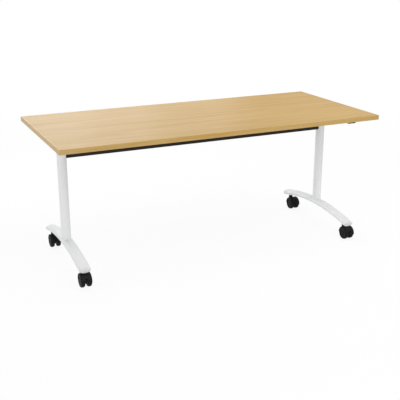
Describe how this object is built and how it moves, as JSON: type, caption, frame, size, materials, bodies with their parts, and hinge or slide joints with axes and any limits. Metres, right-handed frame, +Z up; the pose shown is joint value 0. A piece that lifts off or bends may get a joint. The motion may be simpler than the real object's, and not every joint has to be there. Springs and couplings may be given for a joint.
{
  "type": "flip top training table",
  "caption": "Training table with an oak faced board that tilts up on latched arms, on white T legs with bowed feet and braked twin-wheel castors joined by a black beam.",
  "frame": {"origin": "on the floor under the middle of the board", "axes": "+X along the board's length, +Y towards the back, where the board's lower edge goes when it is tilted, +Z up"},
  "size_m": [1.8, 0.8, 0.735],
  "materials": {
    "oak_laminate": "fine oak grain along the length, satin",
    "oak_edge_band": "oak pattern, satin",
    "white_steel": "white powder coat",
    "white_plastic": "white, satin",
    "black_steel": "black powder coat",
    "black_casting": "black powder coat on a casting",
    "black_plastic": "black, fine grained",
    "castor_tread": "black, matt",
    "bare_steel": "zinc plated",
    "black_rubber": "matt"
  },
  "bodies": {
    "base": {"cross_beam": "black_steel", "column_left": "white_steel", "foot_left": "white_steel", "foot_cap_left_front": "white_plastic", "foot_cap_left_back": "white_plastic", "beam_saddle_left": "black_casting", "column_head_left": "black_casting", "rest_pad_left": "black_rubber", "pivot_bush_left": "black_plastic", "column_right": "white_steel", "foot_right": "white_steel", "foot_cap_right_front": "white_plastic", "foot_cap_right_back": "white_plastic", "beam_saddle_right": "black_casting", "column_head_right": "black_casting", "rest_pad_right": "black_rubber", "pivot_bush_right": "black_plastic", "castor_front_left_stem": "bare_steel", "castor_front_right_stem": "bare_steel", "castor_back_left_stem": "bare_steel", "castor_back_right_stem": "bare_steel"},
    "top": {"table_top": "oak_laminate", "edge_band_front": "oak_edge_band", "edge_band_back": "oak_edge_band", "edge_band_left": "oak_edge_band", "edge_band_right": "oak_edge_band", "tilt_arm_left": "black_steel", "pivot_pin_left": "bare_steel", "latch_guide_left": "black_steel", "latch_spring_left": "bare_steel", "tilt_arm_right": "black_steel", "pivot_pin_right": "bare_steel", "latch_guide_right": "black_steel", "latch_spring_right": "bare_steel"},
    "release": {"release_rod": "bare_steel", "release_trigger_left": "black_plastic", "release_trigger_right": "black_plastic"},
    "bolt_left": {"latch_bolt_left": "bare_steel"},
    "bolt_right": {"latch_bolt_right": "bare_steel"},
    "fork_front_left": {"castor_front_left_hood": "black_plastic", "castor_front_left_axle": "bare_steel"},
    "brake_front_left": {"castor_front_left_brake_lever": "black_plastic"},
    "wheel_front_left_left": {"castor_front_left_wheel_left": "castor_tread"},
    "wheel_front_left_right": {"castor_front_left_wheel_right": "castor_tread"},
    "fork_front_right": {"castor_front_right_hood": "black_plastic", "castor_front_right_axle": "bare_steel"},
    "brake_front_right": {"castor_front_right_brake_lever": "black_plastic"},
    "wheel_front_right_left": {"castor_front_right_wheel_left": "castor_tread"},
    "wheel_front_right_right": {"castor_front_right_wheel_right": "castor_tread"},
    "fork_back_left": {"castor_back_left_hood": "black_plastic", "castor_back_left_axle": "bare_steel"},
    "brake_back_left": {"castor_back_left_brake_lever": "black_plastic"},
    "wheel_back_left_left": {"castor_back_left_wheel_left": "castor_tread"},
    "wheel_back_left_right": {"castor_back_left_wheel_right": "castor_tread"},
    "fork_back_right": {"castor_back_right_hood": "black_plastic", "castor_back_right_axle": "bare_steel"},
    "brake_back_right": {"castor_back_right_brake_lever": "black_plastic"},
    "wheel_back_right_left": {"castor_back_right_wheel_left": "castor_tread"},
    "wheel_back_right_right": {"castor_back_right_wheel_right": "castor_tread"}
  },
  "joints": [
    {"name": "top_flip", "type": "hinge", "parent": "base", "child": "top", "pos_m": [0, 0.03, 0.68], "axis": [-1, 0, 0], "range_deg": [0, 90]},
    {"name": "release_turn", "type": "hinge", "parent": "top", "child": "release", "pos_m": [0, -0.09925, 0.7], "axis": [1, 0, 0], "range_deg": [0, 44]},
    {"name": "bolt_slide_left", "type": "slide", "parent": "top", "child": "bolt_left", "axis": [0, 1, 0], "range_m": [0, 0.0105]},
    {"name": "bolt_slide_right", "type": "slide", "parent": "top", "child": "bolt_right", "axis": [0, 1, 0], "range_m": [0, 0.0105]},
    {"name": "swivel_front_left", "type": "hinge", "parent": "base", "child": "fork_front_left", "pos_m": [-0.788, -0.296, 0.07], "axis": [0, 0, 1], "continuous": true},
    {"name": "roll_front_left_left", "type": "hinge", "parent": "fork_front_left", "child": "wheel_front_left_left", "pos_m": [-0.8055, -0.324, 0.035], "axis": [1, 0, 0], "continuous": true},
    {"name": "roll_front_left_right", "type": "hinge", "parent": "fork_front_left", "child": "wheel_front_left_right", "pos_m": [-0.7705, -0.324, 0.035], "axis": [1, 0, 0], "continuous": true},
    {"name": "brake_press_front_left", "type": "hinge", "parent": "fork_front_left", "child": "brake_front_left", "pos_m": [-0.788, -0.34775, 0.04984], "axis": [1, 0, 0], "range_deg": [0, 12]},
    {"name": "swivel_front_right", "type": "hinge", "parent": "base", "child": "fork_front_right", "pos_m": [0.788, -0.296, 0.07], "axis": [0, 0, 1], "continuous": true},
    {"name": "roll_front_right_left", "type": "hinge", "parent": "fork_front_right", "child": "wheel_front_right_left", "pos_m": [0.7705, -0.324, 0.035], "axis": [1, 0, 0], "continuous": true},
    {"name": "roll_front_right_right", "type": "hinge", "parent": "fork_front_right", "child": "wheel_front_right_right", "pos_m": [0.8055, -0.324, 0.035], "axis": [1, 0, 0], "continuous": true},
    {"name": "brake_press_front_right", "type": "hinge", "parent": "fork_front_right", "child": "brake_front_right", "pos_m": [0.788, -0.34775, 0.04984], "axis": [1, 0, 0], "range_deg": [0, 12]},
    {"name": "swivel_back_left", "type": "hinge", "parent": "base", "child": "fork_back_left", "pos_m": [-0.788, 0.296, 0.07], "axis": [0, 0, 1], "continuous": true},
    {"name": "roll_back_left_left", "type": "hinge", "parent": "fork_back_left", "child": "wheel_back_left_left", "pos_m": [-0.8055, 0.268, 0.035], "axis": [1, 0, 0], "continuous": true},
    {"name": "roll_back_left_right", "type": "hinge", "parent": "fork_back_left", "child": "wheel_back_left_right", "pos_m": [-0.7705, 0.268, 0.035], "axis": [1, 0, 0], "continuous": true},
    {"name": "brake_press_back_left", "type": "hinge", "parent": "fork_back_left", "child": "brake_back_left", "pos_m": [-0.788, 0.24425, 0.04984], "axis": [1, 0, 0], "range_deg": [0, 12]},
    {"name": "swivel_back_right", "type": "hinge", "parent": "base", "child": "fork_back_right", "pos_m": [0.788, 0.296, 0.07], "axis": [0, 0, 1], "continuous": true},
    {"name": "roll_back_right_left", "type": "hinge", "parent": "fork_back_right", "child": "wheel_back_right_left", "pos_m": [0.7705, 0.268, 0.035], "axis": [1, 0, 0], "continuous": true},
    {"name": "roll_back_right_right", "type": "hinge", "parent": "fork_back_right", "child": "wheel_back_right_right", "pos_m": [0.8055, 0.268, 0.035], "axis": [1, 0, 0], "continuous": true},
    {"name": "brake_press_back_right", "type": "hinge", "parent": "fork_back_right", "child": "brake_back_right", "pos_m": [0.788, 0.24425, 0.04984], "axis": [1, 0, 0], "range_deg": [0, 12]}
  ],
  "couplings": [
    {"joint": "bolt_slide_left", "follows": "release_turn", "m_per_rad": 0.013659},
    {"joint": "bolt_slide_right", "follows": "release_turn", "m_per_rad": 0.013659}
  ]
}
